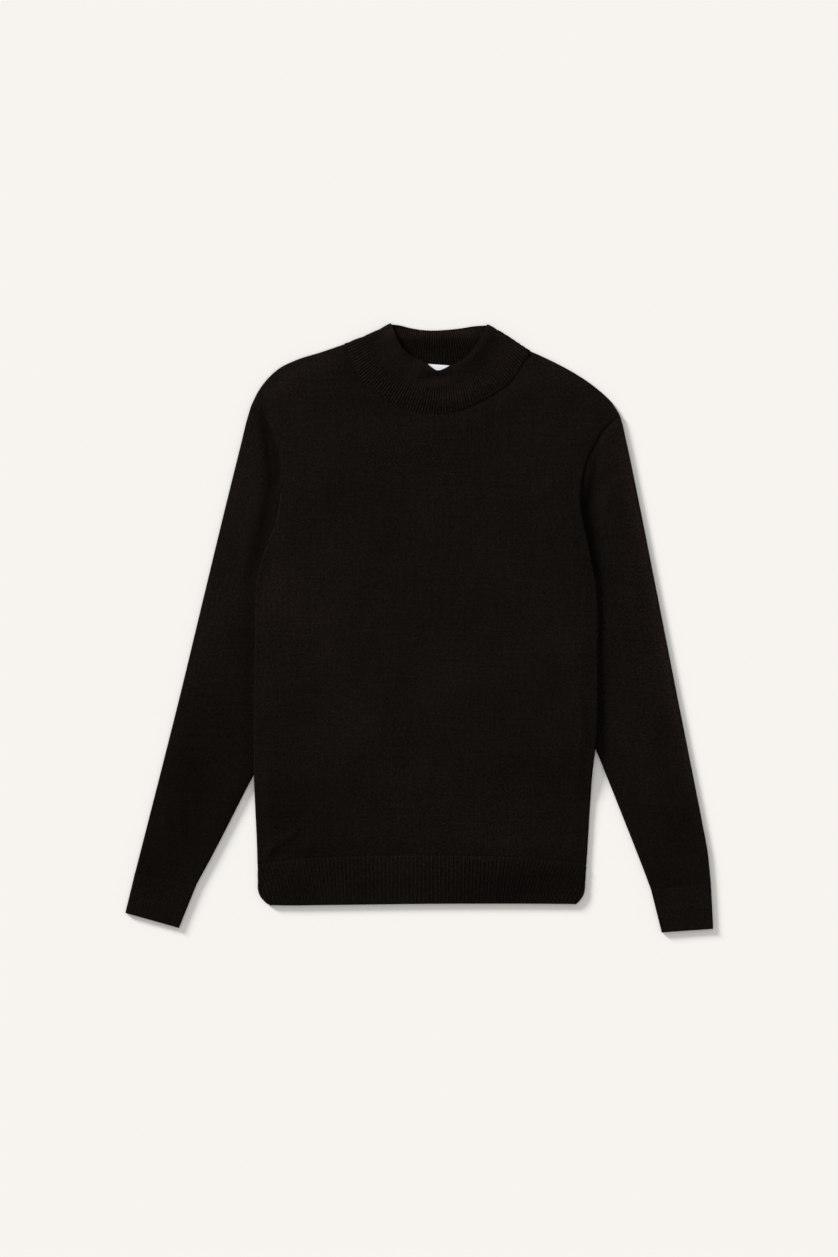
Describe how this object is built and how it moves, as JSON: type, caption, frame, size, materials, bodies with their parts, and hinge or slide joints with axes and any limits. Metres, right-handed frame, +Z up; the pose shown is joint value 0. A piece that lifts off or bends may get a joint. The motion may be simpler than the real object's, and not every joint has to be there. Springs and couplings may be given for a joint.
{
  "type": "mock neck sweater",
  "caption": "Fine-knit long-sleeved sweater with a ribbed mock neck, ribbed cuffs and a ribbed hem, laid flat on its back with the arms slanting down at its sides.",
  "frame": {"origin": "on the surface that the garment lies on, under the middle of its outline", "axes": "+X across the garment to the viewer's right, +Y from the hem to the neck, +Z up from the surface through the cloth"},
  "size_m": [0.7206, 0.7476, 0.0092],
  "materials": {
    "jersey": "fine plain knit, matt, near-black brown",
    "rib": "rib knit, matt, near-black brown",
    "label": "plain white woven tab with nothing on it"
  },
  "bodies": {
    "root": {"front": "jersey", "back": "jersey", "sleeve_left": "jersey", "sleeve_right": "jersey", "cuff_left": "rib", "cuff_right": "rib", "collar": "rib", "hem_front": "rib", "hem_back": "rib", "label": "label"}
  },
  "joints": []
}
